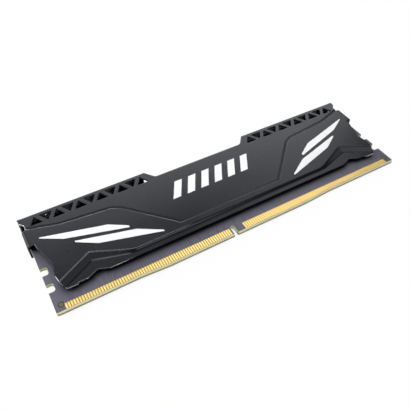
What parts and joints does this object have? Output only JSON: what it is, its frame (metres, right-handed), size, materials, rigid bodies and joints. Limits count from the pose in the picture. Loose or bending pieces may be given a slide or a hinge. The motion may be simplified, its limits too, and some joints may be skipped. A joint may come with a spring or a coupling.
{
  "type": "memory module",
  "caption": "Desktop memory module: a stepped board with gold edge contacts between two pressed aluminium heat-spreader shells with vented strips.",
  "frame": {"origin": "centre of the underside, with the module lying on its back shell; X from the module's middle, Y from the middle of its height", "axes": "+X along the module towards the end of the longer contact group, +Y from the contact edge towards the vented strips, +Z out of the front shell"},
  "size_m": [0.1352, 0.0396, 0.0061],
  "materials": {
    "solder_mask": "semi-gloss purple-grey solder mask on glass-fibre board",
    "gold_plating": "satin gold plating",
    "package_moulding": "matt black moulding compound",
    "capacitor_ceramic": "matt brown ceramic",
    "resistor_body": "satin black glaze",
    "thermal_pad": "soft grey silicone pad",
    "shell_coating": "matt dark grey coating on pressed aluminium, bare at cut edges"
  },
  "bodies": {
    "root": {"board": "solder_mask", "contacts_front_left": "gold_plating", "contacts_front_right": "gold_plating", "contacts_back_left": "gold_plating", "contacts_back_right": "gold_plating", "memory_front_1": "package_moulding", "memory_front_2": "package_moulding", "memory_front_3": "package_moulding", "memory_front_4": "package_moulding", "memory_front_5": "package_moulding", "memory_front_6": "package_moulding", "memory_front_7": "package_moulding", "memory_front_8": "package_moulding", "memory_back_1": "package_moulding", "memory_back_2": "package_moulding", "memory_back_3": "package_moulding", "memory_back_4": "package_moulding", "memory_back_5": "package_moulding", "memory_back_6": "package_moulding", "memory_back_7": "package_moulding", "memory_back_8": "package_moulding", "capacitors_front": "capacitor_ceramic", "capacitors_back": "capacitor_ceramic", "bulk_capacitors": "capacitor_ceramic", "resistor_arrays_front": "resistor_body", "resistor_arrays_back": "resistor_body", "eeprom": "package_moulding", "thermal_pad_front": "thermal_pad", "thermal_pad_back": "thermal_pad", "shell_front": "shell_coating", "shell_back": "shell_coating"}
  },
  "joints": []
}
